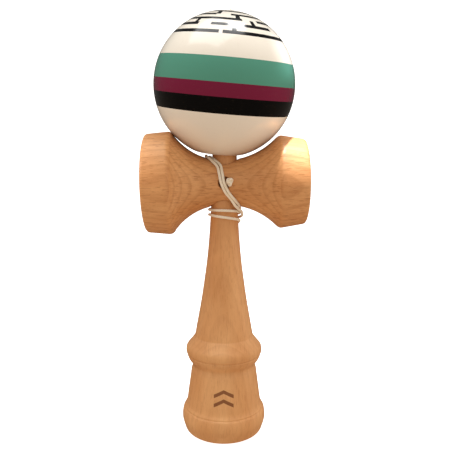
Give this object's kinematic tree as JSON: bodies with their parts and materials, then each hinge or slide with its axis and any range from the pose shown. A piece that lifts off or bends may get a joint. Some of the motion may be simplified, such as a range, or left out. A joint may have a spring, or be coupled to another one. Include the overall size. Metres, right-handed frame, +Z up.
{
  "type": "kendama",
  "caption": "Wooden cup-and-ball toy: spiked handle with a base cup, a two-cup cross-piece and a lacquered ball on a cord, resting on the spike.",
  "frame": {"origin": "middle of the base rim, on the plane that the toy stands on", "axes": "+Z up the handle to the spike, +X along the cross-piece to its smaller cup, -Y the front"},
  "size_m": [0.0691, 0.0626, 0.1834],
  "materials": {
    "beech": "bare turned beech, lightly sealed, with brown growth lines and flecks",
    "lacquer": "glossy lacquer over turned wood, cream with green, maroon and black bands",
    "cord": "braided off-white cord",
    "bead_wood": "small plain wooden bead"
  },
  "bodies": {
    "ken": {"ken": "beech", "sarado": "beech", "string_core": "cord", "sarado_knot": "cord", "string_lashing": "cord", "string_slack": "cord"},
    "string_end": {"string_over_tama": "cord", "string_tail": "cord", "string_bead": "bead_wood", "bead_knot": "cord"},
    "tama": {"tama": "lacquer"}
  },
  "joints": [
    {"name": "tama_lift", "type": "slide", "parent": "ken", "child": "string_end", "axis": [0, 0, 1], "range_m": [0, 0.042], "deforming": ["string_slack"]},
    {"name": "tama_spin", "type": "hinge", "parent": "string_end", "child": "tama", "pos_m": [-0.0002, -0.0006, 0.1518], "axis": [0.08, -0.182, 0.98], "continuous": true}
  ]
}
